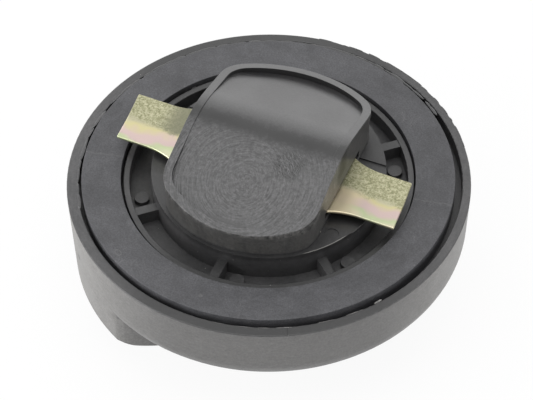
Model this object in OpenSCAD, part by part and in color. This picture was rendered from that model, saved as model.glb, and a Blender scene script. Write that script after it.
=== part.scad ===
// Oil filler cap with a through locking bar, shown upside down: the underside
// faces up and the cap stands on its grip. The locking bar runs along X and
// the origin is on the axis, at the flat crown of the grip.

/* [Cap body] */
// Outer diameter of the rim
cap_d = 80; // [70:1:90]
// Width of the flat rim around the sealing ring
rim_w = 2; // [1.5:0.1:3.5]
// Radius along both edges of the rim
rim_edge_r = 0.25; // [0.1:0.05:0.6]
// Height of the skirt, from the rim to the outer face
skirt_h = 15; // [13:0.5:20]
// Draft of the skirt and the grip ends, in degrees
skirt_draft = 2; // [0:0.5:3]
// Radius round the lower edge of the skirt
skirt_edge_r = 5.4; // [2:0.2:6]
// Depth of the seat of the sealing ring below the rim
seat_depth = 3; // [2:0.2:4]
// How far the seat lies off the axis along X, as moulded
seat_shift_x = 0.15; // [-0.3:0.05:0.3]
// How far the seat lies off the axis along Y, as moulded
seat_shift_y = 0.25; // [-0.3:0.05:0.3]
// Thickness of the plate between the seat and the finger wells
plate_t = 4.5; // [3:0.5:6]

/* [Grip bar] */
// Width of the grip bar across the outer face
grip_w = 27.4; // [20:0.2:32]
// How far the crown of the grip stands out of the outer face
grip_h = 12; // [9:0.5:16]
// How far the two ends of the grip stand out of the outer face
grip_end_h = 4.4; // [3:0.1:8]
// Diameter of the flat crown that the cap stands on
grip_flat_d = 32; // [24:1:48]
// Radius of the upright corners at the ends of the grip
grip_corner_r = 4.5; // [1:0.5:6]
// Radius along the long edges of the grip
grip_edge_r = 0.7; // [0.3:0.1:3]
// Turn from the locking bar to the grip, in degrees
grip_turn = 45; // [0:5:90]
// Width of the rolled rim left outside the finger wells
well_rim_w = 6.4; // [5.5:0.1:9]
// Radius of the corners of the finger wells
well_corner_r = 4; // [1:0.5:5]

/* [Ring wall and ribs] */
// Thickness of the ring wall inside the sealing ring
ring_t = 1.3; // [1:0.1:2.5]
// How far the ring wall stands above the rim
ring_lift = 0.2; // [0:0.1:1]
// Radius along both top edges of the ring wall
ring_edge_r = 0.2; // [0.1:0.05:0.4]
// Width of the pockets between the ring wall and the hub base
pocket_w = 4.3; // [3.6:0.1:5.5]
// Thickness of the radial ribs
rib_t = 1.9; // [1:0.1:3]
// Angle of the slanted ribs from the locking bar, in degrees
rib_angle = 41.5; // [35:0.5:60]
// Diameter of the ejector bosses in the pockets
boss_d = 3; // [2:0.1:4]
// Height of the ejector bosses
boss_h = 1; // [0.4:0.1:2]
// Turn from a slanted rib to its ejector boss, in degrees
boss_turn = 11.2; // [9:0.2:16]
// Turn from a cross rib to its ejector boss, in degrees
cross_boss_turn = 8.5; // [7:0.5:14]
// Width of the locating nib on the ring wall
nib_w = 1.1; // [0.6:0.1:2]
// How far the nib reaches towards the sealing ring
nib_reach = 0.45; // [0.1:0.05:0.5]
// Angle of the locating nib from the locking bar, in degrees
nib_angle = 144.5; // [140:0.5:150]

/* [Hub] */
// Height of the hub base above the rim
base_h = 2.7; // [1:0.1:4]
// Depth of the shallow channel that crosses the hub base
channel_depth = 0.3; // [0.1:0.1:0.8]
// Space in the channel at each side of the bar slot
channel_margin = 0.4; // [0.2:0.1:2]
// Step from the round base in to the round sides of the hub
hub_step = 0.4; // [0.2:0.1:2]
// Distance between the two flat sides of the hub
hub_flats = 31.8; // [26:0.2:36]
// Radius of the four corners of the hub
hub_corner_r = 6.8; // [3:0.2:9]
// Height of the crest of the hub above the rim
crest_h = 13.8; // [12:0.2:18]
// Slope of both halves of the hub's roof, in degrees
roof_slope = 15.4; // [8:0.2:18]
// Radius that rounds the crest
crest_r = 19; // [8:1:30]
// Width of the lip around the recess in the roof
lip_w = 1.7; // [1:0.1:3]
// How much steeper the floor of the recess is than the roof, in degrees
recess_slope = 4.4; // [2:0.2:8]
// Depth of the recess at the crest
recess_depth = 0.15; // [0.1:0.05:1]
// Heights of the two narrow bands under the edge of the roof
band_h = 1.2; // [0.6:0.1:2]
// How far each band stands out of the one below it
band_step = 0.15; // [0.05:0.05:0.3]
// Diameter of the ejector mark on the ledge beside the hub
mark_d = 3; // [1.5:0.1:3.6]
// Depth of the ejector mark
mark_depth = 0.15; // [0.1:0.05:0.5]
// Distance from the ejector mark's centre to the edge of the ledge
mark_inset = 2.1; // [1.9:0.1:2.6]
// Angle of the ejector mark from the locking bar, in degrees
mark_angle = -32.5; // [-40:0.5:-30]

/* [Locking bar] */
// Length of the bar over its two tips
bar_l = 59.4; // [56:0.2:64]
// Width of the bar at its tips
bar_w = 12.2; // [9:0.2:13]
// Width of the bar where it passes through the hub
bar_mid_w = 16.4; // [14:0.2:17]
// Thickness of the bar
bar_t = 0.7; // [0.5:0.1:1.4]
// Slope of the two halves of the bar, folded up along its middle, in degrees
bar_fold = 4; // [1:0.5:6]
// Radius of that fold on the upper face
fold_r = 8; // [4:1:12]
// Radius of the flares between the tips and the middle
flare_r = 13.5; // [8:0.5:20]
// Height of the bar's under side above the rim, at its middle
bar_lift = 3.6; // [3.2:0.1:5]
// Skew of the cut ends, in degrees
end_skew = 5.2; // [0:0.2:10]
// How far the loose bar has slid along its slot
bar_slide = -1.2; // [-1.6:0.1:1.6]
// How far the loose bar has turned in its slot, in degrees
bar_yaw = -1.7; // [-2:0.1:2]
// Clearance of the bar in its slot
slot_clear = 0.25; // [0.15:0.05:0.5]

/* [Sealing ring] */
// Width of the sealing ring, from its bore to its outer edge
seal_w = 7.8; // [6:0.1:10]
// Thickness of the sealing ring
seal_t = 3.75; // [3.2:0.05:5]
// Clearance from the ring wall to the sealing ring
seal_bore_clear = 0.35; // [0.3:0.05:1]
// Clearance from the sealing ring to the rim
seal_rim_clear = 1.05; // [0.75:0.05:1.6]
// How far the loose sealing ring lies off the axis along X
seal_shift_x = -0.2; // [-0.2:0.05:0.2]
// How far the loose sealing ring lies off the axis along Y
seal_shift_y = 0.2; // [-0.2:0.05:0.2]
// Radius round the edges of the sealing ring
seal_edge_r = 0.12; // [0.06:0.02:0.6]

/* [Hidden] */
$fn = 96;

// Solids that only cut reach this far past the faces they cut
over = 1;
// Solids that join overlap by this much inside the body
sink = 0.5;

cap_r = cap_d / 2;
rim_z = skirt_h + grip_h;
seat_r = cap_r - rim_w;
floor_z = -seat_depth;
outer_z = -skirt_h;
well_z = floor_z - plate_t;

edge_z = outer_z + skirt_edge_r;
edge_r = cap_r + edge_z * tan(skirt_draft);
edge_x = edge_r - skirt_edge_r / cos(skirt_draft);

grip_z = outer_z - grip_h;
grip_end_z = outer_z - grip_end_h;
grip_end_r = cap_r + grip_end_z * tan(skirt_draft);
grip_flat_r = grip_flat_d / 2;
crown_run = grip_end_r - grip_flat_r;
crown_rise = grip_end_z - grip_z;
crown_r = (crown_run * crown_run + crown_rise * crown_rise) / (2 * crown_rise);

seal_r = seat_r - seal_rim_clear;
seal_bore_r = seal_r - seal_w;

ring_r = seal_bore_r - seal_bore_clear;
ring_in_r = ring_r - ring_t;
base_r = ring_in_r - pocket_w;
hub_r = base_r - hub_step;
pocket_r = (ring_in_r + base_r) / 2;
rib_angles = [for (side = [0, 180]) for (turn = [-rib_angle, rib_angle, 90]) side + turn];
boss_angles = [
    for (side = [0, 180])
        for (turn = [boss_turn - rib_angle, rib_angle - boss_turn, cross_boss_turn - 90])
            side + turn
];

bar_reach = (hub_flats / 2 + abs(bar_slide)) * abs(sin(bar_yaw));
slot_w = bar_mid_w + 2 * (bar_reach + slot_clear);
fold_rise = bar_mid_w / 2 * tan(bar_fold);
slot_z = bar_lift - slot_clear;
slot_h = bar_t + fold_rise + 2 * slot_clear;
channel_w = slot_w + 2 * channel_margin;

flare_drop = (bar_mid_w - bar_w) / 2;
flare_run = sqrt(flare_r * flare_r - (flare_r - flare_drop) * (flare_r - flare_drop));
flare_x = hub_flats / 2 + flare_run - sink;

// Outline with two round sides of radius r and two flats, its corners rounded
module double_d(r, flats, corner) {
    half = flats / 2;
    corner_x = half - corner;
    corner_y = sqrt((r - corner) * (r - corner) - corner_x * corner_x);
    turn = atan2(corner_y, corner_x);
    arc_x = r * cos(turn);
    arc_y = r * sin(turn);
    polygon([
        [half, -corner_y], [half, corner_y], [arc_x, arc_y], [-arc_x, arc_y],
        [-half, corner_y], [-half, -corner_y], [-arc_x, -arc_y], [arc_x, -arc_y]
    ]);
    for (side = [-1, 1])
        intersection() {
            circle(r);
            translate([-arc_x, side > 0 ? arc_y - sink : -r - over])
                square([2 * arc_x, r + over - arc_y + sink]);
        }
    for (sx = [-1, 1], sy = [-1, 1])
        translate([sx * corner_x, sy * corner_y])
            circle(corner);
}

// Profile under a roof with two equal slopes and a rounded crest
module roof_profile(top_z, slope, round_r, half_w, bottom_z) {
    run = round_r * sin(slope);
    shoulder_z = top_z - round_r * (1 - cos(slope));
    eave_z = shoulder_z - (half_w - run) * tan(slope);
    polygon([
        [-half_w, bottom_z], [half_w, bottom_z], [half_w, eave_z],
        [run, shoulder_z], [-run, shoulder_z], [-half_w, eave_z]
    ]);
    intersection() {
        translate([0, top_z - round_r])
            circle(round_r);
        translate([-run, shoulder_z - sink])
            square([2 * run, round_r]);
    }
}

// Runs a profile drawn in Y and Z along the X axis
module along_x(length) {
    rotate([90, 0, 90])
        translate([0, 0, -length / 2])
            linear_extrude(length)
                children();
}

// Skirt and plate as turned, up to the rim
module skirt_solid() {
    rotate_extrude() {
        polygon([
            [0, outer_z], [edge_x, outer_z], [edge_x, edge_z],
            [edge_x + skirt_edge_r * cos(skirt_draft), edge_z - skirt_edge_r * sin(skirt_draft)],
            [cap_r, -rim_edge_r], [cap_r - rim_edge_r, 0], [0, 0]
        ]);
        translate([cap_r - rim_edge_r, -rim_edge_r])
            circle(rim_edge_r);
        intersection() {
            translate([edge_x, edge_z])
                circle(skirt_edge_r);
            translate([edge_x - sink, outer_z])
                square([skirt_edge_r + over, skirt_edge_r]);
        }
    }
}

// Turned shape that ends the grip: drafted ends and a crown with a flat
module grip_envelope() {
    rotate_extrude()
        intersection() {
            union() {
                translate([0, grip_z])
                    square([grip_flat_r, -grip_z]);
                translate([0, grip_end_z])
                    square([cap_r + over, -grip_end_z]);
                translate([grip_flat_r, grip_z + crown_r])
                    intersection() {
                        circle(crown_r);
                        translate([-sink, -crown_r])
                            square([crown_run + sink, crown_r]);
                    }
            }
            polygon([
                [0, grip_z - over], [cap_r + (grip_z - over) * tan(skirt_draft), grip_z - over],
                [cap_r, 0], [0, 0]
            ]);
        }
}

// Cross section of the grip bar, with its two long edges rounded
module grip_section() {
    half = grip_w / 2;
    translate([-half, grip_z + grip_edge_r])
        square([grip_w, -grip_z]);
    translate([-half + grip_edge_r, grip_z])
        square([grip_w - 2 * grip_edge_r, grip_edge_r + sink]);
    for (side = [-1, 1])
        translate([side * (half - grip_edge_r), grip_z + grip_edge_r])
            circle(grip_edge_r);
}

module grip_bar() {
    rotate([0, 0, grip_turn])
        intersection() {
            grip_envelope();
            translate([0, 0, grip_z - over])
                linear_extrude(well_z + sink - grip_z + over)
                    rotate(90)
                        double_d(edge_r, grip_w, grip_corner_r);
            along_x(cap_d + 2 * over)
                grip_section();
        }
}

// Outline of one finger well: a segment of a circle with rounded ends
module well_outline() {
    well_r = cap_r - well_rim_w;
    inset = grip_w / 2;
    corner_y = inset + well_corner_r;
    corner_x = sqrt((well_r - well_corner_r) * (well_r - well_corner_r) - corner_y * corner_y);
    turn = atan2(corner_y, corner_x);
    arc_x = well_r * cos(turn);
    arc_y = well_r * sin(turn);
    polygon([[-corner_x, inset], [corner_x, inset], [arc_x, arc_y], [-arc_x, arc_y]]);
    intersection() {
        circle(well_r);
        translate([-arc_x, arc_y - sink])
            square([2 * arc_x, well_r + over]);
    }
    for (side = [-1, 1])
        translate([side * corner_x, corner_y])
            circle(well_corner_r);
}

module finger_wells() {
    for (turn = [0, 180])
        rotate([0, 0, grip_turn + turn])
            translate([0, 0, grip_z - over])
                linear_extrude(well_z - grip_z + over)
                    well_outline();
}

// Seat of the sealing ring and the pockets, down to the plate, eased at the rim
module seat_cut() {
    translate([seat_shift_x, seat_shift_y, 0])
        rotate_extrude()
            difference() {
                translate([0, floor_z])
                    square([seat_r + rim_edge_r, seat_depth + over]);
                translate([seat_r, floor_z - over])
                    square([rim_edge_r + over, seat_depth + over - rim_edge_r]);
                translate([seat_r + rim_edge_r, -rim_edge_r])
                    circle(rim_edge_r);
            }
}

// Wall inside the sealing ring, with rounded top edges and one nib
module ring_wall() {
    rotate_extrude() {
        translate([ring_in_r, floor_z - sink])
            square([ring_t, seat_depth + sink + ring_lift - ring_edge_r]);
        translate([ring_in_r + ring_edge_r, floor_z])
            square([ring_t - 2 * ring_edge_r, seat_depth + ring_lift]);
        for (x = [ring_in_r + ring_edge_r, ring_r - ring_edge_r])
            translate([x, ring_lift - ring_edge_r])
                circle(ring_edge_r);
    }
    rotate([0, 0, nib_angle])
        translate([ring_in_r + ring_t / 2, -nib_w / 2, floor_z - sink])
            cube([ring_t / 2 + nib_reach, nib_w, seat_depth + sink]);
}

module ribs() {
    for (turn = rib_angles)
        rotate([0, 0, turn])
            translate([base_r - over, -rib_t / 2, floor_z - sink])
                cube([ring_in_r + ring_t / 2 - base_r + over, rib_t, seat_depth + sink]);
}

module ejector_bosses() {
    for (turn = boss_angles)
        rotate([0, 0, turn])
            translate([pocket_r, 0, floor_z - sink])
                cylinder(h = boss_h + sink, d = boss_d);
}

module hub_base() {
    difference() {
        translate([0, 0, floor_z - sink])
            cylinder(h = seat_depth + sink + base_h, r = base_r);
        translate([-cap_r, -channel_w / 2, base_h - channel_depth])
            cube([cap_d, channel_w, channel_depth + over]);
        rotate([0, 0, mark_angle])
            translate([base_r - mark_inset, 0, base_h - mark_depth])
                cylinder(h = mark_depth + over, d = mark_d);
    }
}

// Roof of the hub, lowered by a given drop
module under_roof(drop) {
    along_x(cap_d)
        roof_profile(crest_h - drop, roof_slope, crest_r, hub_r + over, 0);
}

module hub_column(inset, top_z) {
    translate([0, 0, floor_z])
        linear_extrude(top_z - floor_z)
            double_d(hub_r - inset, hub_flats - 2 * inset, hub_corner_r - inset);
}

// Part of the hub under the roof that starts a given drop below its surface
module hub_step_body(inset, drop) {
    intersection() {
        hub_column(inset, crest_h);
        under_roof(drop);
    }
}

module roof_recess() {
    difference() {
        hub_column(lip_w, crest_h + over);
        along_x(cap_d)
            roof_profile(
                crest_h - recess_depth, roof_slope + recess_slope, crest_r,
                hub_r + over, floor_z - over
            );
    }
}

// One band round the hub: the part of a wider hub between two drops
module hub_band(inset, top_drop, low_drop) {
    difference() {
        hub_step_body(inset, top_drop);
        under_roof(low_drop);
        translate([-cap_r, -cap_r, floor_z - over])
            cube([cap_d, cap_d, over - floor_z]);
    }
}

module hub_block() {
    difference() {
        union() {
            hub_step_body(2 * band_step, band_h);
            hub_band(band_step, band_h / 2, 2 * band_h);
            hub_band(0, 0, band_h);
        }
        roof_recess();
    }
}

module bar_slot() {
    translate([-cap_r, -slot_w / 2, slot_z])
        cube([cap_d, slot_w, slot_h]);
}

module cap_body() {
    color([0.13, 0.13, 0.14])
        translate([0, 0, rim_z]) {
            difference() {
                union() {
                    difference() {
                        skirt_solid();
                        seat_cut();
                    }
                    grip_bar();
                    ring_wall();
                    ribs();
                    ejector_bosses();
                    hub_base();
                    hub_block();
                }
                finger_wells();
                bar_slot();
            }
        }
}

module sealing_ring() {
    color([0.2, 0.2, 0.22])
        translate([seal_shift_x, seal_shift_y, rim_z + floor_z])
            rotate_extrude() {
                translate([seal_bore_r, seal_edge_r])
                    square([seal_r - seal_bore_r, seal_t - 2 * seal_edge_r]);
                translate([seal_bore_r + seal_edge_r, 0])
                    square([seal_r - seal_bore_r - 2 * seal_edge_r, seal_t]);
                for (x = [seal_bore_r + seal_edge_r, seal_r - seal_edge_r])
                    for (z = [seal_edge_r, seal_t - seal_edge_r])
                        translate([x, z])
                            circle(seal_edge_r);
            }
}

module bar_outline() {
    half_l = bar_l / 2;
    half_w = bar_mid_w / 2;
    lean = half_w * tan(end_skew);
    difference() {
        polygon([
            [-half_l - lean, half_w], [half_l - lean, half_w],
            [half_l + lean, -half_w], [-half_l + lean, -half_w]
        ]);
        for (sx = [-1, 1], sy = [-1, 1])
            scale([sx, sy]) {
                translate([flare_x, bar_w / 2])
                    square([bar_l, bar_w]);
                translate([flare_x, bar_w / 2 + flare_r])
                    circle(flare_r);
            }
    }
}

// Cross section of the bar: two halves that rise from a rounded fold
module bar_section() {
    half = bar_mid_w;
    rise = half * tan(bar_fold);
    polygon([
        [0, 0], [half, rise], [half, rise + bar_t], [0, bar_t],
        [-half, rise + bar_t], [-half, rise]
    ]);
    difference() {
        run = fold_r * sin(bar_fold);
        translate([-run, bar_t / 2])
            square([2 * run, bar_t / 2 + fold_r * (1 - cos(bar_fold))]);
        translate([0, bar_t + fold_r / cos(bar_fold)])
            circle(fold_r);
        for (side = [-1, 1])
            translate([0, bar_t])
                rotate(side > 0 ? bar_fold : 180 - bar_fold)
                    square([half, half]);
    }
}

module locking_bar() {
    color([0.78, 0.72, 0.45])
        translate([0, 0, rim_z + bar_lift])
            rotate([0, 0, bar_yaw])
                translate([bar_slide, 0, 0])
                    intersection() {
                        linear_extrude(bar_t + bar_mid_w * tan(bar_fold))
                            bar_outline();
                        along_x(2 * bar_l)
                            bar_section();
                    }
}

cap_body();
sealing_ring();
locking_bar();
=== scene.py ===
import math
import random
import bmesh
import bpy
from mathutils import Matrix, Vector


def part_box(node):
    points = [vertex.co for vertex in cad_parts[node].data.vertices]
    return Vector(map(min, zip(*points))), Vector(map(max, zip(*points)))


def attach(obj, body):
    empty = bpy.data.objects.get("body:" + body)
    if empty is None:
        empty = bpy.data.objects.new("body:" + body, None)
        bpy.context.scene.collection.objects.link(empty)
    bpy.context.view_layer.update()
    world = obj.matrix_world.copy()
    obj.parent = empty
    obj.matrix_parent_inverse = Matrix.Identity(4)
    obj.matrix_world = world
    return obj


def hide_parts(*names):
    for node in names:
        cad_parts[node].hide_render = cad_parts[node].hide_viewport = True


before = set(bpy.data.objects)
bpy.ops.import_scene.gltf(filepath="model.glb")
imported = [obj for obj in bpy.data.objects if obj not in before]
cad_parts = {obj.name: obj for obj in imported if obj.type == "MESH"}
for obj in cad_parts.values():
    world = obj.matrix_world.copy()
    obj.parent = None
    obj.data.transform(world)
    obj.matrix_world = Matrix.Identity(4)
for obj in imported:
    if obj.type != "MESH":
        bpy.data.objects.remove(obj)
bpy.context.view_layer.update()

mm = 0.001
crestHeight = 13.8 * mm                     # how far the hub's crest stands above the rim
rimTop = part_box("cap_body")[1].z - crestHeight
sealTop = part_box("sealing_ring")[1].z


# Shader helpers

def newMaterial(name):
    mat = bpy.data.materials.new(name)
    mat.use_nodes = True
    tree = mat.node_tree
    tree.nodes.clear()
    out = tree.nodes.new("ShaderNodeOutputMaterial")
    shader = tree.nodes.new("ShaderNodeBsdfPrincipled")
    tree.links.new(shader.outputs["BSDF"], out.inputs["Surface"])
    return mat, tree, shader


def plug(tree, source, target):
    tree.links.new(source, target)


def fill(tree, socket, value):              # value is a number, a tuple or the output of a node
    if isinstance(value, (int, float)):
        socket.default_value = value
    elif isinstance(value, tuple):
        needsAlpha = len(value) == 3 and len(socket.default_value) == 4
        socket.default_value = (*value, 1) if needsAlpha else value
    else:
        plug(tree, value, socket)


def objectPoint(tree, centre=(0, 0, 0), turn=0.0, size=(1, 1, 1)):
    coords = tree.nodes.new("ShaderNodeTexCoord")
    place = tree.nodes.new("ShaderNodeMapping")
    place.vector_type = "TEXTURE"
    place.inputs["Location"].default_value = centre
    place.inputs["Rotation"].default_value = (0, 0, math.radians(turn))
    place.inputs["Scale"].default_value = size
    plug(tree, coords.outputs["Object"], place.inputs["Vector"])
    return place.outputs["Vector"]


def split(tree, vector):
    node = tree.nodes.new("ShaderNodeSeparateXYZ")
    plug(tree, vector, node.inputs["Vector"])
    return node.outputs["X"], node.outputs["Y"], node.outputs["Z"]


def join(tree, x, y, z):
    node = tree.nodes.new("ShaderNodeCombineXYZ")
    for socket, value in zip(node.inputs, (x, y, z)):
        fill(tree, socket, value)
    return node.outputs["Vector"]


def sums(tree, kind, first, second=0.0):
    node = tree.nodes.new("ShaderNodeMath")
    node.operation = kind
    fill(tree, node.inputs[0], first)
    fill(tree, node.inputs[1], second)
    return node.outputs["Value"]


def times(tree, first, *others):
    for other in others:
        first = sums(tree, "MULTIPLY", first, other)
    return first


def apart(tree, first, second):
    return sums(tree, "ABSOLUTE", sums(tree, "SUBTRACT", first, second))


def span(tree, value, low, high, toLow=0.0, toHigh=1.0, smooth=True):
    node = tree.nodes.new("ShaderNodeMapRange")
    node.interpolation_type = "SMOOTHSTEP" if smooth else "LINEAR"
    node.inputs["From Min"].default_value = low
    node.inputs["From Max"].default_value = high
    node.inputs["To Min"].default_value = toLow
    node.inputs["To Max"].default_value = toHigh
    plug(tree, value, node.inputs["Value"])
    return node.outputs["Result"]


def zone(tree, value, edges):               # 0 at the first of two places in mm, 1 at the second
    return span(tree, value, edges[0] * mm, edges[1] * mm)


def noise(tree, where, scale, detail=3.0, roughness=0.55, distortion=0.0):
    tex = tree.nodes.new("ShaderNodeTexNoise")
    tex.inputs["Scale"].default_value = scale
    tex.inputs["Detail"].default_value = detail
    tex.inputs["Roughness"].default_value = roughness
    tex.inputs["Distortion"].default_value = distortion
    plug(tree, where, tex.inputs["Vector"])
    return tex.outputs["Fac"]


def ramp(tree, value, stops):
    node = tree.nodes.new("ShaderNodeValToRGB")
    colours = node.color_ramp
    while len(colours.elements) < len(stops):
        colours.elements.new(0.5)
    for element, (place, colour) in zip(colours.elements, stops):
        element.position = place
        element.color = (*colour, 1)
    plug(tree, value, node.inputs["Fac"])
    return node.outputs["Color"]


def mix(tree, amount, first, second, blend="MIX"):
    node = tree.nodes.new("ShaderNodeMix")
    node.data_type = "RGBA"
    node.blend_type = blend
    fill(tree, node.inputs[0], amount)
    fill(tree, node.inputs[6], first)
    fill(tree, node.inputs[7], second)
    return node.outputs[2]


def shade(tree, colour, tone):              # a colour times a grey
    return mix(tree, 1.0, colour, join(tree, tone, tone, tone), "MULTIPLY")


def bump(tree, height, strength, depth, below=None):
    node = tree.nodes.new("ShaderNodeBump")
    fill(tree, node.inputs["Strength"], strength)
    node.inputs["Distance"].default_value = depth
    plug(tree, height, node.inputs["Height"])
    if below is not None:
        plug(tree, below, node.inputs["Normal"])
    return node.outputs["Normal"]


def ringPoint(tree, point):                 # a point as its radius, its angle round the axis and its height
    x, y, z = split(tree, point)
    radius = sums(tree, "SQRT", sums(tree, "ADD", times(tree, x, x), times(tree, y, y)))
    turn = sums(tree, "ARCTAN2", y, x)
    return radius, turn, z


def specks(tree, point, kinds):             # scattered round flecks, 1 on a fleck
    shown = 0.0
    for spacing, size, share in kinds:
        cells = tree.nodes.new("ShaderNodeTexVoronoi")
        cells.inputs["Scale"].default_value = 1 / spacing
        plug(tree, point, cells.inputs["Vector"])
        near = span(tree, cells.outputs["Distance"], size / spacing * 0.6, size / spacing, 1, 0)
        tint = tree.nodes.new("ShaderNodeSeparateColor")
        plug(tree, cells.outputs["Color"], tint.inputs["Color"])
        chosen = sums(tree, "GREATER_THAN", tint.outputs["Red"], 1 - share)
        shown = sums(tree, "MAXIMUM", times(tree, near, chosen), shown)
    return shown


# The cap's black plastic

capLook = {
    "dark": (0.022, 0.022, 0.023),
    "light": (0.034, 0.033, 0.034),
    "skirt": (0.080, 0.078, 0.076),         # outer walls: a lighter grey than the tops, painted light standing in for the bright floor they mirror
    "skirtSheen": (0.160, 0.155, 0.149),     # the same at the two sides, with a painted sheen where the walls mirror the floor at a grazing angle
    "sheenTurn": 23,                         # degrees round the axis to the right-hand side
    "sheenLeft": (-18, -39),                 # mm from the axis where the painted sheen begins and where it is full
    "sheenRight": (20, 36),
    "sheenRightShare": 0.75,
    "hubWall": (0.046, 0.045, 0.043),       # scuffed walls of the hub
    "paintedRecessShade": (0.004, 0.004, 0.004),    # painted shade: near black on the walls of the recess in its top
    "levelTops": 0.40,                      # rim and ring wall: share of the colour that stays, painted shade on the level tops
    "levelSheen": 1.9,                       # the same at the sides of the rim: painted sheen, lighter
    "ledge": 0.55,                          # the same on the hub's base, painted shade under the hub
    "crestBand": 0.10,                      # painted shade: the same along the crest of the hub
    "crestWidth": (3.0, 0.6),               # mm from the crest where the painted shade begins and where it is full
    "roughness": (0.36, 0.46),
    "gloss": 1.0,
    "dust": (0.62, 0.60, 0.56),
    "flecks": ((2.6 * mm, 0.13 * mm, 0.13), (1.1 * mm, 0.07 * mm, 0.10)),       # spacing, size and share
    "swirlCentre": (-0.3 * mm, -11.7 * mm, 0),      # turning marks on the hub's near slope
    "swirlPitch": 0.31 * mm,
    "swirlReach": 17 * mm,
    "swirlDepth": 0.08 * mm,
    "hatchCentre": (6.8 * mm, -6.0 * mm, 0),        # short dark tool marks just below the crest
    "hatchReach": 4.2 * mm,
    "hatchDepth": 0.4 * mm,
    "hatchColour": (0.003, 0.003, 0.003),
    "scratchRadius": 23.05 * mm,            # a thin pale arc on the hub's base
    "scratchWidth": 0.09 * mm,
    "scratchTurns": (-52, -26),
    "nickTurn": -137.9,                     # a nick in the skirt, in degrees round the axis
    "nickHeight": 18.5 * mm,
    "nickDepth": 0.3 * mm,
    "partTurn": -62.2,                      # the mould's parting line across the rim
    "partDepth": 0.12 * mm,
}

# Where each zone of the cap begins and where it is full, in mm
capZones = {
    "skirt": (39.0, 39.3),                  # distances from the axis
    "rim": (37.6, 37.8),
    "insideRim": (39.0, 38.8),
    "belowRim": (-0.15, -0.3),              # heights over the rim
    "rimSide": (-1.2, -0.8),
    "overGroove": (-0.2, -0.1),
    "belowBase": (0.5, 0.4),
    "base": (1.5, 2.0),
    "baseTop": (2.2, 2.5),
    "belowHub": (3.2, 2.8),
    "hubWall": (2.9, 3.6),
    "recess": (3.0, 3.6),
    "hubTop": (7.5, 8.0),
    "grip": (15, 14),                       # heights over the ground
    "overPlate": (18, 19),
    "nearSlope": (-0.5, -3.5),              # distances behind the crest
    "farSlope": (0.5, 3.0),
    "outwards": (0, 2),                     # how far a wall looks away from the axis
    "inwards": (0, -2),
}


def capMasks(tree, point, at=capZones):     # each mask is 1 on its own part of the cap
    radius, turn, height = ringPoint(tree, point)
    x, y, z = split(tree, point)
    over = sums(tree, "SUBTRACT", height, rimTop)
    facing = split(tree, tree.nodes.new("ShaderNodeTexCoord").outputs["Normal"])
    upwards = sums(tree, "ABSOLUTE", facing[2])
    outward = sums(tree, "ADD", times(tree, x, facing[0]), times(tree, y, facing[1]))
    standing = span(tree, upwards, 0.45, 0.25)
    level = span(tree, upwards, 0.8, 0.95)
    skirt = times(tree, zone(tree, radius, at["skirt"]), zone(tree, over, at["belowRim"]))
    low = zone(tree, over, at["belowHub"])
    inside = times(tree, low, zone(tree, radius, at["insideRim"]), zone(tree, height, at["overPlate"]))
    top = zone(tree, over, at["hubTop"])
    return {
        "outside": sums(tree, "MAXIMUM", skirt, zone(tree, height, at["grip"])),
        "skirtSkin": zone(tree, radius, at["skirt"]),
        "rimSide": times(tree, zone(tree, radius, at["rim"]), zone(tree, over, at["rimSide"])),
        "levelTop": times(tree, level, zone(tree, over, at["overGroove"]), zone(tree, over, at["belowBase"])),
        "inside": inside,
        "ledge": times(tree, inside, zone(tree, over, at["base"])),
        "baseTop": times(tree, low, zone(tree, over, at["baseTop"])),
        "hubWall": times(tree, standing, zone(tree, over, at["hubWall"]), zone(tree, outward, at["outwards"])),
        "paintedRecessShade": times(tree, standing, zone(tree, over, at["recess"]), zone(tree, outward, at["inwards"])),
        "hubTop": top,
        "nearHalf": times(tree, top, zone(tree, y, at["nearSlope"])),
        "farHalf": times(tree, top, zone(tree, y, at["farSlope"])),
    }


def capPatterns(tree, point, look):
    radius, turn, height = ringPoint(tree, point)
    x, y, z = split(tree, point)
    combed = join(tree, times(tree, turn, 0.9), times(tree, radius, 60), times(tree, height, 60))
    swirlRadius, swirlTurn = ringPoint(tree, objectPoint(tree, look["swirlCentre"]))[:2]
    turned = join(tree, times(tree, swirlTurn, 3.0), times(tree, swirlRadius, 1 / look["swirlPitch"]), 0.0)
    slanted = join(tree, times(tree, sums(tree, "ADD", x, y), 1.5),
                   times(tree, sums(tree, "SUBTRACT", x, y), 0.6), z)
    hatchRadius = ringPoint(tree, objectPoint(tree, look["hatchCentre"]))[0]
    return {
        "clouds": noise(tree, point, 90),
        "patches": noise(tree, point, 260, 2),
        "ragged": noise(tree, point, 900, 4, 0.7),
        "ground": noise(tree, point, 1500, 3, 0.7),
        "grain": noise(tree, point, 2600, 2),
        "streaks": noise(tree, combed, 26, 4, 0.7),
        "scuffs": noise(tree, join(tree, x, y, times(tree, height, 0.12)), 900, 4, 0.7),
        "rings": noise(tree, turned, 1.0, 2, 0.5, 0.2),
        "swirlArea": span(tree, swirlRadius, look["swirlReach"] * 1.3, look["swirlReach"] * 0.8),
        "chatter": noise(tree, slanted, 1500, 2, 0.6),
        "hatchArea": span(tree, hatchRadius, look["hatchReach"], look["hatchReach"] * 0.45),
    }


def arcMark(tree, radius, turn, atRadius, width, fromTurn, toTurn):     # a thin line along an arc
    across = span(tree, apart(tree, radius, atRadius), 0, width, 1, 0)
    middle, half = math.radians((fromTurn + toTurn) / 2), math.radians((toTurn - fromTurn) / 2)
    return times(tree, across, span(tree, apart(tree, turn, middle), half * 0.7, half, 1, 0))


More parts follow.
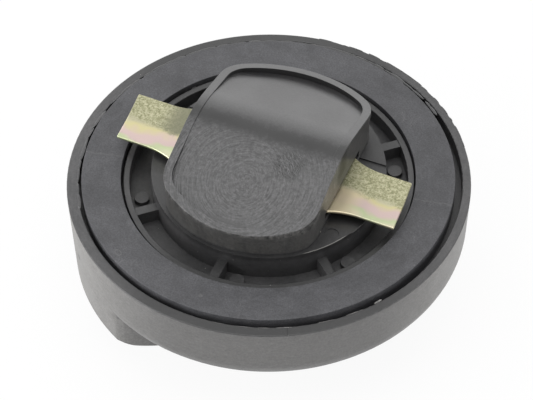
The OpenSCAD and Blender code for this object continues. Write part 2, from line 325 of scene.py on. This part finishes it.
def capMarks(tree, point, look, masks):
    radius, turn, height = ringPoint(tree, point)
    scratch = arcMark(tree, radius, turn, look["scratchRadius"], look["scratchWidth"], *look["scratchTurns"])
    nickAcross = span(tree, apart(tree, turn, math.radians(look["nickTurn"])), 0.008, 0.022, 1, 0)
    nickAlong = span(tree, apart(tree, height, look["nickHeight"]), 0.2 * mm, 0.8 * mm, 1, 0)
    partAcross = span(tree, apart(tree, turn, math.radians(look["partTurn"])), 0, 0.003, 1, 0)
    return {
        "scratch": times(tree, scratch, masks["baseTop"]),
        "nick": times(tree, nickAcross, nickAlong, masks["skirtSkin"]),
        "partLine": times(tree, partAcross, masks["rimSide"]),
    }


def capColour(tree, point, look, masks, patterns, marks):
    colour = ramp(tree, patterns["clouds"], [(0.3, look["dark"]), (0.7, look["light"])])
    # painted sheen: lighter at the left and right sides, on the skirt and on the rim's level tops
    reach = split(tree, objectPoint(tree, turn=look["sheenTurn"]))[0]
    sheenRight = times(tree, zone(tree, reach, look["sheenRight"]), look["sheenRightShare"])
    sideSheen = sums(tree, "MAXIMUM", zone(tree, reach, look["sheenLeft"]), sheenRight)
    # painted light: the outer walls and grip take the lighter skirt colour, with a painted sheen at the two
    # sides
    colour = mix(tree, masks["outside"], colour, mix(tree, sideSheen, look["skirt"], look["skirtSheen"]))
    scuffed = times(tree, masks["hubWall"], span(tree, patterns["scuffs"], 0.3, 0.7, 0.35, 1.5, False))
    colour = mix(tree, scuffed, colour, look["hubWall"])
    # painted shade on the inward walls of the recess
    colour = mix(tree, times(tree, masks["paintedRecessShade"], 0.85), colour, look["paintedRecessShade"])

    # painted shade on the level tops, lighter at the sides as painted sheen; painted shade on the hub's base
    levelTone = span(tree, sideSheen, 0, 1, look["levelTops"], look["levelSheen"], False)
    dim = sums(tree, "ADD", times(tree, masks["levelTop"], levelTone),
               sums(tree, "SUBTRACT", 1, masks["levelTop"]))
    # painted shade: a dark band along the hub's crest
    waver = times(tree, sums(tree, "SUBTRACT", patterns["ragged"], 0.42), 5 * mm)
    offCrest = sums(tree, "ABSOLUTE", sums(tree, "ADD", split(tree, point)[1], waver))
    crest = times(tree, masks["hubTop"], zone(tree, offCrest, look["crestWidth"]))
    dim = times(tree, dim, span(tree, crest, 0, 1, 1, look["crestBand"], False),
                span(tree, masks["ledge"], 0, 1, 1, look["ledge"], False))
    colour = shade(tree, colour, dim)

    ground = sums(tree, "ADD", times(tree, patterns["ground"], 0.55), times(tree, patterns["rings"], 0.45))
    ground = span(tree, ground, 0.38, 0.62, 0.3, 2.4, False)
    colour = mix(tree, masks["nearHalf"], colour, shade(tree, colour, ground))
    hatch = times(tree, patterns["hatchArea"], masks["hubTop"], span(tree, patterns["chatter"], 0.48, 0.60))
    colour = mix(tree, times(tree, hatch, 0.9), colour, look["hatchColour"])
    tone = times(tree, span(tree, patterns["streaks"], 0.35, 0.7, 0.82, 1.3, False),
                 span(tree, patterns["grain"], 0.3, 0.7, 0.8, 1.25, False))
    colour = shade(tree, colour, tone)

    dust = times(tree, specks(tree, point, look["flecks"]), masks["inside"])
    colour = mix(tree, dust, colour, look["dust"])
    colour = mix(tree, times(tree, marks["scratch"], 0.55), colour, look["dust"])
    return mix(tree, times(tree, marks["nick"], 0.7), colour, look["dark"])


def capPlastic(look=capLook):
    mat, tree, shader = newMaterial("black moulded plastic")
    point = objectPoint(tree)
    masks = capMasks(tree, point)
    patterns = capPatterns(tree, point, look)
    marks = capMarks(tree, point, look, masks)
    plug(tree, capColour(tree, point, look, masks, patterns, marks), shader.inputs["Base Color"])

    rough = span(tree, patterns["clouds"], 0.3, 0.7, *look["roughness"])
    rough = sums(tree, "ADD", rough, times(tree, span(tree, patterns["streaks"], 0.3, 0.7), 0.06))
    rough = sums(tree, "SUBTRACT", rough, times(tree, masks["farHalf"], 0.06))
    plug(tree, rough, shader.inputs["Roughness"])
    shader.inputs["Specular IOR Level"].default_value = look["gloss"]

    patchy = span(tree, patterns["patches"], 0.25, 0.6, 0.35, 1)
    swirl = times(tree, masks["nearHalf"], patterns["swirlArea"], patchy)
    hatch = times(tree, masks["hubTop"], patterns["hatchArea"], 0.9)
    normal = bump(tree, patterns["grain"], 0.25, 0.05 * mm)
    normal = bump(tree, patterns["streaks"], 0.12, 0.10 * mm, normal)
    normal = bump(tree, patterns["rings"], swirl, look["swirlDepth"], normal)
    normal = bump(tree, patterns["chatter"], hatch, look["hatchDepth"], normal)
    normal = bump(tree, marks["nick"], 0.6, -look["nickDepth"], normal)
    normal = bump(tree, marks["partLine"], 0.8, -look["partDepth"], normal)
    plug(tree, normal, shader.inputs["Normal"])
    return mat


# The rubber of the sealing ring

sealLook = {
    "dark": (0.046, 0.046, 0.050),
    "light": (0.074, 0.074, 0.080),
    "dust": (0.55, 0.54, 0.52),
    "roughness": (0.50, 0.68),
    "gloss": 0.6,
    "paleLines": (-166, 11),                # faint pale lines across the ring, in degrees round the axis
    "paleLineShare": 0.045,
    "scuffShare": 0.10,
    "ovalTurn": -122.9,                     # a small oval mark: where it is round the axis, and its radius
    "ovalRadius": 35.2 * mm,
    "ovalSize": 0.8 * mm,
    "ovalShare": 0.08,
    "spots": ((6 * mm, 0.5 * mm, 0.3),),    # spacing, size and share
    "spotShare": 0.07,
    "flecks": ((3.2 * mm, 0.12 * mm, 0.10), (1.2 * mm, 0.06 * mm, 0.10)),
    "fleckShare": 0.8,
}


def ovalMark(tree, look):
    turn = math.radians(look["ovalTurn"])
    centre = (look["ovalRadius"] * math.cos(turn), look["ovalRadius"] * math.sin(turn), sealTop)
    squashed = objectPoint(tree, centre, look["ovalTurn"], (0.6, 1, 1))
    offLine = apart(tree, ringPoint(tree, squashed)[0], look["ovalSize"])
    return span(tree, offLine, 0.02 * mm, 0.2 * mm, 1, 0)


def sealRubber(look=sealLook):
    mat, tree, shader = newMaterial("flat black rubber")
    point = objectPoint(tree)
    radius, turn, height = ringPoint(tree, point)
    x, y, z = split(tree, point)
    clouds = noise(tree, point, 140, 5, 0.65)
    grain = noise(tree, point, 3200, 3, 0.7)
    combed = join(tree, times(tree, turn, 0.45), times(tree, radius, 26), times(tree, height, 26))
    wipes = noise(tree, combed, 24, 6, 0.75, 0.6)
    scuffs = noise(tree, join(tree, x, times(tree, y, 0.35), z), 420, 6, 0.8, 0.4)

    colour = ramp(tree, clouds, [(0.3, look["dark"]), (0.7, look["light"])])
    tone = times(tree, span(tree, wipes, 0.3, 0.75, 0.78, 1.38, False),
                 span(tree, grain, 0.3, 0.7, 0.7, 1.35, False))
    colour = shade(tree, colour, tone)
    marks = times(tree, ovalMark(tree, look), look["ovalShare"])
    bent = sums(tree, "ADD", turn, times(tree, wipes, 0.05))
    for line in look["paleLines"]:
        near = span(tree, apart(tree, bent, math.radians(line)), 0.001, 0.008, 1, 0)
        marks = sums(tree, "MAXIMUM", marks, times(tree, near, look["paleLineShare"]))
    scuffed = times(tree, span(tree, scuffs, 0.58, 0.72), span(tree, clouds, 0.4, 0.6), look["scuffShare"])
    marks = sums(tree, "MAXIMUM", marks, scuffed)
    marks = sums(tree, "MAXIMUM", marks, times(tree, specks(tree, point, look["spots"]), look["spotShare"]))
    colour = mix(tree, marks, colour, look["dust"])
    flecks = times(tree, specks(tree, point, look["flecks"]), look["fleckShare"])
    plug(tree, mix(tree, flecks, colour, look["dust"]), shader.inputs["Base Color"])

    plug(tree, span(tree, wipes, 0.3, 0.7, *look["roughness"]), shader.inputs["Roughness"])
    shader.inputs["Specular IOR Level"].default_value = look["gloss"]
    normal = bump(tree, grain, 0.35, 0.06 * mm)
    plug(tree, bump(tree, wipes, 0.10, 0.15 * mm, normal), shader.inputs["Normal"])
    return mat


# The yellow zinc of the locking bar

barLook = {
    "yaw": -1.7,                            # degrees from the x axis to the bar
    "olive": (0.27, 0.27, 0.15),            # the speckled far half
    "straw": (0.60, 0.58, 0.40),
    "farHalf": (-1.2, 0.6),                 # mm behind the fold where it begins and where it is full
    "hubShade": (0.24, 0.24, 0.17),          # painted shade on the left, where the far half nears the hub
    "hubShadeFrom": (-25.5, -20.5),
    "hubGlint": (0.92, 0.80, 0.56),           # painted highlight on the right, where the near half nears it
    "hubGlintFrom": (22, 18),
    "bands": [                              # from the middle of the bar to its near edge
        (0.06, (0.60, 0.57, 0.40)),
        (0.20, (0.68, 0.62, 0.35)),
        (0.38, (0.68, 0.54, 0.50)),
        (0.56, (0.67, 0.53, 0.50)),
        (0.70, (0.56, 0.62, 0.38)),
        (0.84, (0.64, 0.66, 0.45)),
        (0.95, (0.74, 0.69, 0.50)),
    ],
    "bandsFrom": -0.3 * mm,
    "bandsTo": 7.2 * mm,
    "roughness": (0.36, 0.44),
    "farRoughness": 0.08,                   # how much rougher the far half is
}


def yellowZinc(look=barLook):
    mat, tree, shader = newMaterial("yellow zinc plate")
    point = objectPoint(tree, turn=look["yaw"])
    x, y = split(tree, point)[:2]
    crystals = noise(tree, point, 2300, 4, 0.8)
    mottle = noise(tree, point, 700, 3, 0.7)
    slow = sums(tree, "SUBTRACT", noise(tree, point, 120, 2), 0.5)
    quick = sums(tree, "SUBTRACT", mottle, 0.5)
    sway = sums(tree, "ADD", times(tree, slow, 5 * mm), times(tree, quick, 2 * mm))
    farSide = zone(tree, sums(tree, "ADD", y, sway), look["farHalf"])
    across = sums(tree, "SUBTRACT", times(tree, slow, 9 * mm), y)
    place = span(tree, across, look["bandsFrom"], look["bandsTo"], 0, 1, False)
    speckled = mix(tree, span(tree, crystals, 0.36, 0.62), look["olive"], look["straw"])
    speckled = mix(tree, times(tree, span(tree, mottle, 0.48, 0.7), 0.45), speckled, look["olive"])
    colour = mix(tree, farSide, ramp(tree, place, look["bands"]), speckled)
    # painted shade on the bar's far half next to the hub, on the left
    shadedNearHub = times(tree, zone(tree, x, look["hubShadeFrom"]), zone(tree, x, (0, -1)), farSide)
    colour = mix(tree, times(tree, shadedNearHub, 0.85), colour, look["hubShade"])
    # painted highlight on the bar's near half next to the hub, on the right
    bright = times(tree, zone(tree, x, look["hubGlintFrom"]), zone(tree, x, (0, 1)), zone(tree, y, (1, -1)))
    colour = mix(tree, times(tree, bright, 0.9), colour, look["hubGlint"])
    plug(tree, colour, shader.inputs["Base Color"])

    shader.inputs["Metallic"].default_value = 1.0
    rough = span(tree, mottle, 0.3, 0.7, *look["roughness"])
    rough = sums(tree, "ADD", rough, times(tree, farSide, look["farRoughness"]))
    plug(tree, rough, shader.inputs["Roughness"])
    normal = bump(tree, crystals, span(tree, farSide, 0, 1, 0.03, 0.6, False), 0.02 * mm)
    plug(tree, normal, shader.inputs["Normal"])
    return mat


# Copies of the CAD solids with their edges eased

softLook = {
    "cap_body": {"name": "capShell", "edge": 0.11 * mm, "slot": "cap_plastic"},
    "locking_bar": {"name": "lockingStrip", "edge": 0.22 * mm, "slot": "bar_steel", "foldWidth": 0.9 * mm},
}

easing = {
    "sharp": 60,                            # degrees: only convex edges sharper than this are eased
    "smooth": 50,                           # and those sharper than this stay visible lines
    "flat": 0.3,                            # faces this close to one plane become one
    "room": 1.2,                            # width of the bevel times this has to be free beside an edge
    "crisp": (2.4 * mm, 3.1 * mm),          # edges at this height over the rim stay: the base of the hub
}


def pick(piece):
    bpy.ops.object.select_all(action="DESELECT")
    piece.select_set(True)
    bpy.context.view_layer.objects.active = piece


def widenFold(piece, width, look=barLook):      # one line along the middle of the bar, then a broad soft bend
    lean = math.radians(look["yaw"])
    bpy.ops.mesh.select_all(action="DESELECT")
    strip = bmesh.from_edit_mesh(piece.data)
    low = min(v.co.z for v in strip.verts)
    for vert in strip.verts:
        aside = vert.co.y * math.cos(lean) - vert.co.x * math.sin(lean)
        vert.select = abs(aside) < 0.7 * mm and vert.co.z > low + 0.5 * mm
    strip.select_flush(True)
    bmesh.update_edit_mesh(piece.data)
    bpy.ops.mesh.remove_doubles(threshold=0.65 * mm)
    bpy.ops.mesh.bevel(offset=width, segments=3, profile=0.5, clamp_overlap=False, affect="EDGES")


def isEased(edge, width):
    limit = math.radians(easing["sharp"])
    if edge.calc_face_angle(0) <= limit or not edge.is_convex:
        return False
    low, high = easing["crisp"]
    if all(low < v.co.z - rimTop < high for v in edge.verts):
        return False
    others = [e for v in edge.verts for e in v.link_edges if e is not edge]
    beside = [e.calc_length() for e in others if e.calc_face_angle(0) <= limit]
    return min(beside, default=1) > width * easing["room"]


def easeEdges(piece, width, foldWidth):
    pick(piece)
    bpy.ops.object.mode_set(mode="EDIT")
    bpy.ops.mesh.select_mode(type="EDGE")
    bpy.ops.mesh.select_all(action="SELECT")
    bpy.ops.mesh.remove_doubles(threshold=0.001 * mm)
    bpy.ops.mesh.dissolve_limited(angle_limit=math.radians(easing["flat"]))
    if foldWidth:
        widenFold(piece, foldWidth)
    bpy.ops.mesh.select_all(action="DESELECT")
    shell = bmesh.from_edit_mesh(piece.data)
    for edge in shell.edges:
        if isEased(edge, width):
            edge.select = True
    bmesh.update_edit_mesh(piece.data)
    bpy.ops.mesh.bevel(offset=width, segments=2, profile=0.5, clamp_overlap=False, affect="EDGES")
    bpy.ops.mesh.select_all(action="SELECT")
    bpy.ops.mesh.remove_doubles(threshold=0.0005 * mm)
    bpy.ops.object.mode_set(mode="OBJECT")
    bpy.ops.object.shade_smooth_by_angle(angle=math.radians(easing["smooth"]))
    weigh = piece.modifiers.new("flat faces lead", "WEIGHTED_NORMAL")
    weigh.keep_sharp = True
    weigh.weight = 50
    bpy.ops.object.modifier_apply(modifier=weigh.name)


def dress(mesh, mat):
    mesh.materials.clear()
    mesh.materials.append(mat)


def softCopy(node, mat):
    look = softLook[node]
    piece = bpy.data.objects.new(look["name"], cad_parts[node].data.copy())
    bpy.context.scene.collection.objects.link(piece)
    if piece.data.has_custom_normals:
        pick(piece)
        bpy.ops.mesh.customdata_custom_splitnormals_clear()
    easeEdges(piece, look["edge"], look.get("foldWidth"))
    dress(piece.data, mat)
    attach(piece, "root")
    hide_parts(node)


# Flash on the rim: thin flakes that stand out of the edges

flashSink = 0.03 * mm                       # how far the middle of a flake lies below the top of the rim
tornColours = ((0.08, 0.08, 0.08), (0.30, 0.29, 0.28))

# Widths, lengths and thicknesses are in mm. An arc is its start and end in degrees and its count of flakes.
flashLook = {
    "rimFins": {"radius": 39.87 * mm, "width": (0.18, 0.36), "length": (1.2, 4.0), "thick": 0.16,
                "arcs": [(34, 42, 4), (42, 62, 4), (62, 70, 4), (70, 98, 4)]},
    "rimLip": {"radius": 37.78 * mm, "width": (0.45, 1.0), "length": (2.0, 6.0), "thick": 0.3,
               "arcs": [(48, 100, 12), (100, 140, 8), (140, 168, 7), (176, 214, 8)]},
    "rimSlivers": {"radius": 38.04 * mm, "width": (0.14, 0.26), "length": (1.2, 3.4), "thick": 0.10,
                   "arcs": [(79, 99, 7), (-66, -61, 2)], "torn": True},
    "rimThreads": {"radius": 38.0 * mm, "width": (0.08, 0.13), "length": (2.0, 5.0), "thick": 0.06,
                   "arcs": [(-88, -66, 4), (-57, -40, 2)], "torn": True},
    "rimScrap": {"radius": 37.9 * mm, "width": (0.4, 0.4), "length": (1.8, 1.8), "thick": 0.2,
                 "arcs": [(-34.6, -33.4, 1)], "torn": True},
}


def tornEdge(colours=tornColours):
    mat, tree, shader = newMaterial("torn flash")
    point = objectPoint(tree)
    pale = noise(tree, point, 600, 3, 0.6)
    plug(tree, ramp(tree, pale, [(0.35, colours[0]), (0.65, colours[1])]), shader.inputs["Base Color"])
    plug(tree, span(tree, pale, 0.3, 0.7, 0.4, 0.6), shader.inputs["Roughness"])
    plug(tree, bump(tree, noise(tree, point, 3000), 0.3, 0.03 * mm), shader.inputs["Normal"])
    return mat


def addFlake(radius, turn, lean, length, width, thick):
    bpy.ops.object.select_all(action="DESELECT")
    bpy.ops.mesh.primitive_uv_sphere_add(
        segments=14, ring_count=7, radius=0.5 * mm,
        location=(radius * math.cos(turn), radius * math.sin(turn), rimTop - flashSink),
        rotation=(0, 0, turn + math.pi / 2 + lean),
        scale=(length, width, thick))
    bpy.ops.object.transform_apply(location=True, rotation=True, scale=True)
    return bpy.context.object


def addFlash(name, kind, mat):
    chance = random.Random(name)
    flakes = []
    for start, end, count in kind["arcs"]:
        for i in range(count):
            turn = math.radians(start + (end - start) * (i + chance.uniform(0.2, 0.8)) / count)
            lean = chance.uniform(-0.05, 0.05)
            length = chance.uniform(*kind["length"])
            width = chance.uniform(*kind["width"])
            flakes.append(addFlake(kind["radius"], turn, lean, length, width, kind["thick"]))
    for flake in flakes:
        flake.select_set(True)
    bpy.context.view_layer.objects.active = flakes[0]
    bpy.ops.object.join()
    piece = bpy.context.object
    piece.name = name
    bpy.ops.object.origin_set(type="ORIGIN_CURSOR")
    bpy.ops.object.shade_smooth()
    piece.data.materials.append(mat)
    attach(piece, "root")


plastic = capPlastic()
rubber = sealRubber()
zinc = yellowZinc()
softCopy("cap_body", plastic)
softCopy("locking_bar", zinc)
for node, mat in (("cap_body", plastic), ("sealing_ring", rubber), ("locking_bar", zinc)):
    dress(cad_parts[node].data, mat)
print("cap, seal and bar are dressed")

torn = tornEdge()
for name, kind in flashLook.items():
    addFlash(name, kind, torn if kind.get("torn") else plastic)
print("flash is on the rim")


# Floor, light and camera

studio = {
    "floorSize": 6.0,
    "floorColour": (0.86, 0.86, 0.86),
    "floorRoughness": 0.9,
    "seenWhite": 0.92,              # share of plain white in the floor, as the camera sees it
    "mirroredWhite": 1.0,           # and as a gloss mirrors it
    "worldStrength": 0.60,
    "middle": (0, 0, 0.02),         # what the soft boxes point at
}

# Soft boxes. turn is counted from the camera's side, to its right; lift is the angle above the floor;
# glow is the brightness of the box's face.
softBoxes = {
    "farBox": {"turn": 180, "lift": 18, "away": 1.2, "width": 2.0, "height": 0.75, "glow": 1.32},
    "topBox": {"turn": 0, "lift": 88, "away": 1.0, "width": 0.85, "height": 0.85, "glow": 1.75},
    "leftBox": {"turn": -80, "lift": 14, "away": 1.2, "width": 1.1, "height": 0.9, "glow": 4.4},
    "rightBox": {"turn": 72, "lift": 12, "away": 1.2, "width": 0.6, "height": 0.7, "glow": 3.2},
}

cameraSet = {
    "lens": 168.9,                  # mm on a 36 mm sensor: a long lens
    "sensor": 36,
    "aim": (0.00088, -0.00335, 0.02403),
    "azimuth": 23.09,
    "elevation": 48.75,
    "roll": -0.64,
    "distance": 0.495,
}


def direction(turn, lift):          # from the middle outwards, in degrees
    turn, lift = math.radians(turn), math.radians(lift)
    return Vector((math.sin(turn) * math.cos(lift), -math.cos(turn) * math.cos(lift), math.sin(lift)))


def makeFloor(look=studio):
    bpy.ops.object.select_all(action="DESELECT")
    bpy.ops.mesh.primitive_plane_add(size=look["floorSize"], location=(0, 0, 0))
    floor = bpy.context.object
    floor.name = "floor"
    mat, tree, shader = newMaterial("pale floor")
    shader.inputs["Base Color"].default_value = (*look["floorColour"], 1)
    shader.inputs["Roughness"].default_value = look["floorRoughness"]
    out = next(n for n in tree.nodes if n.type == "OUTPUT_MATERIAL")
    white = tree.nodes.new("ShaderNodeEmission")
    white.inputs["Strength"].default_value = 1.0
    rays = tree.nodes.new("ShaderNodeLightPath")
    seen = times(tree, rays.outputs["Is Camera Ray"], look["seenWhite"])
    mirrored = sums(tree, "MAXIMUM", rays.outputs["Is Glossy Ray"], rays.outputs["Is Transmission Ray"])
    share = sums(tree, "MAXIMUM", seen, times(tree, mirrored, look["mirroredWhite"]))
    both = tree.nodes.new("ShaderNodeMixShader")
    plug(tree, share, both.inputs["Fac"])
    plug(tree, shader.outputs["BSDF"], both.inputs[1])
    plug(tree, white.outputs["Emission"], both.inputs[2])
    plug(tree, both.outputs["Shader"], out.inputs["Surface"])
    floor.data.materials.append(mat)


def makeLight(look=studio):
    world = bpy.data.worlds.new("studio")
    bpy.context.scene.world = world
    world.use_nodes = True
    back = world.node_tree.nodes["Background"]
    back.inputs["Color"].default_value = (1, 1, 1, 1)
    back.inputs["Strength"].default_value = look["worldStrength"]
    for name, box in softBoxes.items():
        out = direction(cameraSet["azimuth"] + box["turn"], box["lift"])
        data = bpy.data.lights.new(name, "AREA")
        data.shape = "RECTANGLE"
        data.size, data.size_y = box["width"], box["height"]
        data.energy = box["glow"] * math.pi * box["width"] * box["height"]
        lamp = bpy.data.objects.new(name, data)
        bpy.context.scene.collection.objects.link(lamp)
        lamp.location = Vector(look["middle"]) + out * box["away"]
        lamp.rotation_euler = (-out).to_track_quat("-Z", "Y").to_euler()


def makeCamera(look=cameraSet):
    data = bpy.data.cameras.new("camera")
    data.lens = look["lens"]
    data.sensor_width = look["sensor"]
    data.clip_start = 0.01
    data.clip_end = 20
    camera = bpy.data.objects.new("camera", data)
    bpy.context.scene.collection.objects.link(camera)
    back = direction(look["azimuth"], look["elevation"])
    roll = Matrix.Rotation(math.radians(look["roll"]), 3, "Z")
    camera.rotation_euler = ((-back).to_track_quat("-Z", "Y").to_matrix() @ roll).to_euler()
    camera.location = Vector(look["aim"]) + back * look["distance"]
    bpy.context.scene.camera = camera


makeFloor()
makeLight()
makeCamera()
bpy.context.scene.view_settings.view_transform = "Standard"
print("floor, lamps and camera are set")
